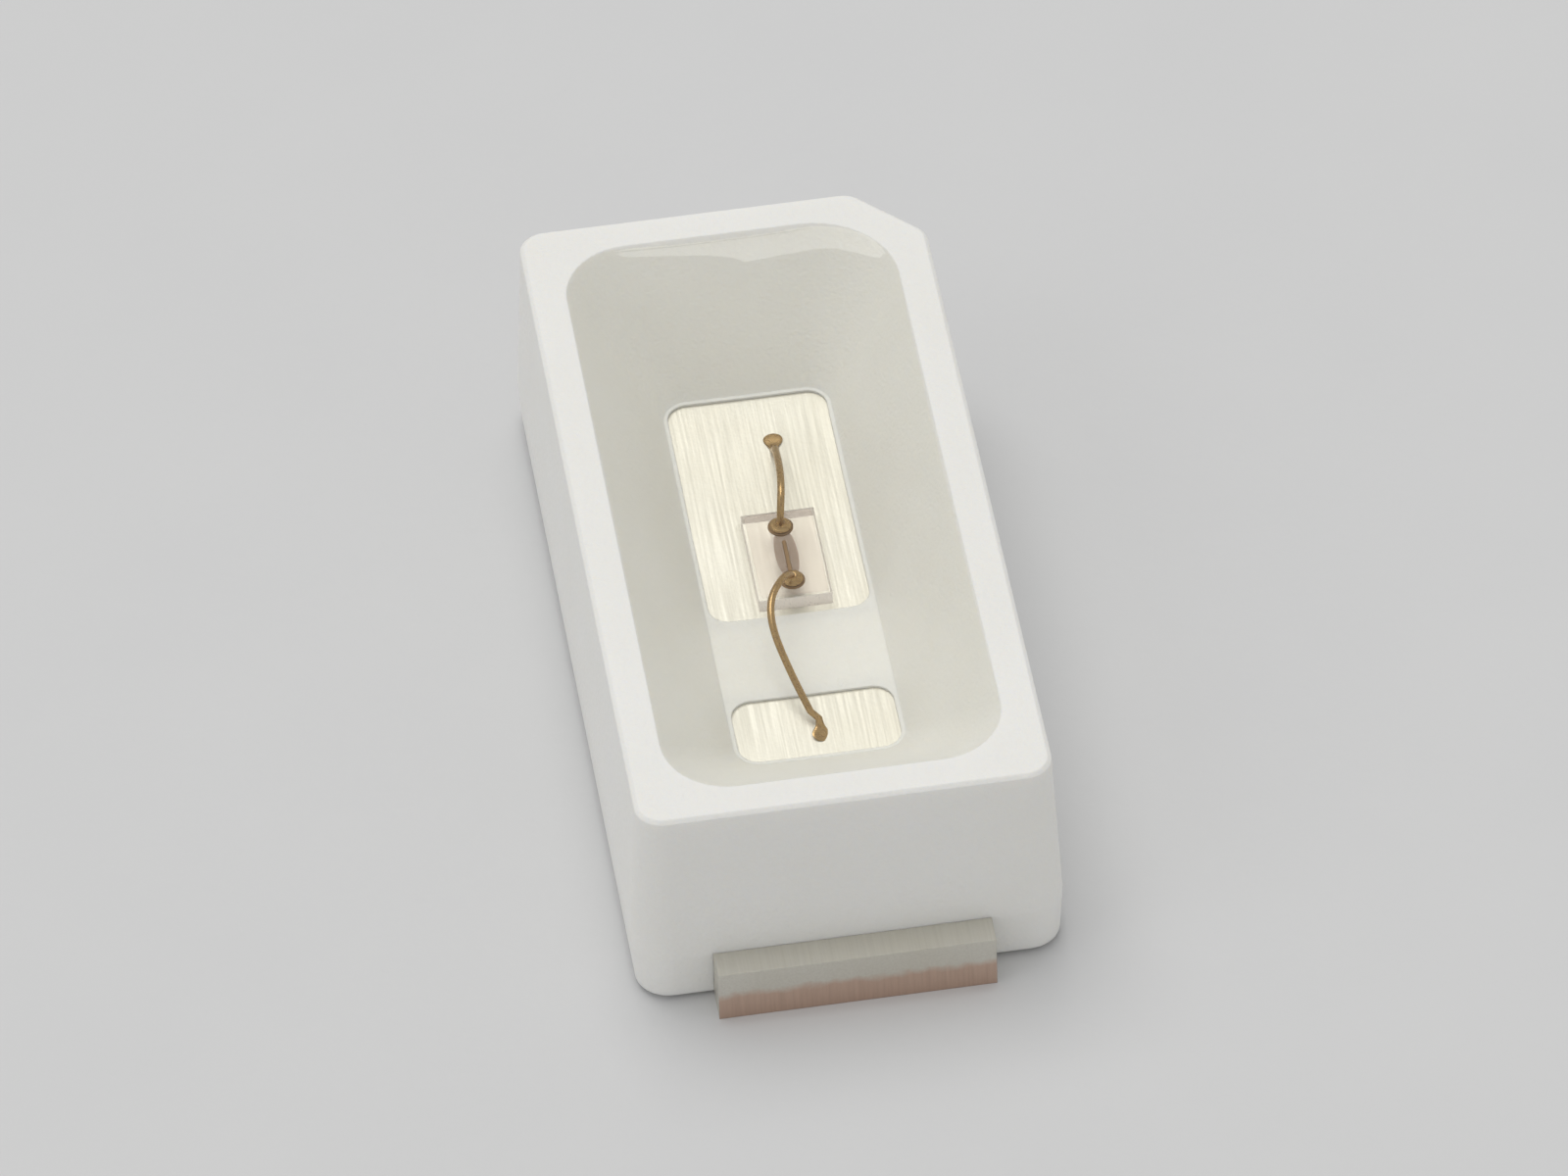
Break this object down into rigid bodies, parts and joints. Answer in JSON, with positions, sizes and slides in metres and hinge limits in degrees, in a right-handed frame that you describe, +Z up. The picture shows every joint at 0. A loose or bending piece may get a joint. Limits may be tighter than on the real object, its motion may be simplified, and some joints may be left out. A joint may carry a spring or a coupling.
{
  "type": "surface-mount LED",
  "caption": "Top-view surface-mount light-emitting diode: white reflector housing on silvered leads, with a wire-bonded die under clear silicone and a cut polarity corner.",
  "frame": {"origin": "middle of the footprint, on the plane of the two solder pads", "axes": "+Z up, away from the board, towards the light window; +Y along the package towards the large lead and the cut corner's end; +X across it towards the cut corner"},
  "size_m": [0.0014, 0.003, 0.0008],
  "materials": {
    "white_plastic": "satin moulded",
    "silver_plate": "bright silver plating on copper",
    "die_bond_resin": "clear resin",
    "sapphire": "polished, frosted sawn sides",
    "semiconductor": "smooth thin film",
    "contact_metal": "evaporated gold",
    "gold_wire": "drawn gold",
    "clear_silicone": "clear, glossy"
  },
  "bodies": {
    "root": {"housing": "white_plastic", "lead_large": "silver_plate", "lead_small": "silver_plate", "die_attach": "die_bond_resin", "die_substrate": "sapphire", "die_epitaxy": "semiconductor", "n_electrode": "contact_metal", "p_electrode": "contact_metal", "bond_wire_large": "gold_wire", "bond_wire_small": "gold_wire", "encapsulant": "clear_silicone"}
  },
  "joints": []
}
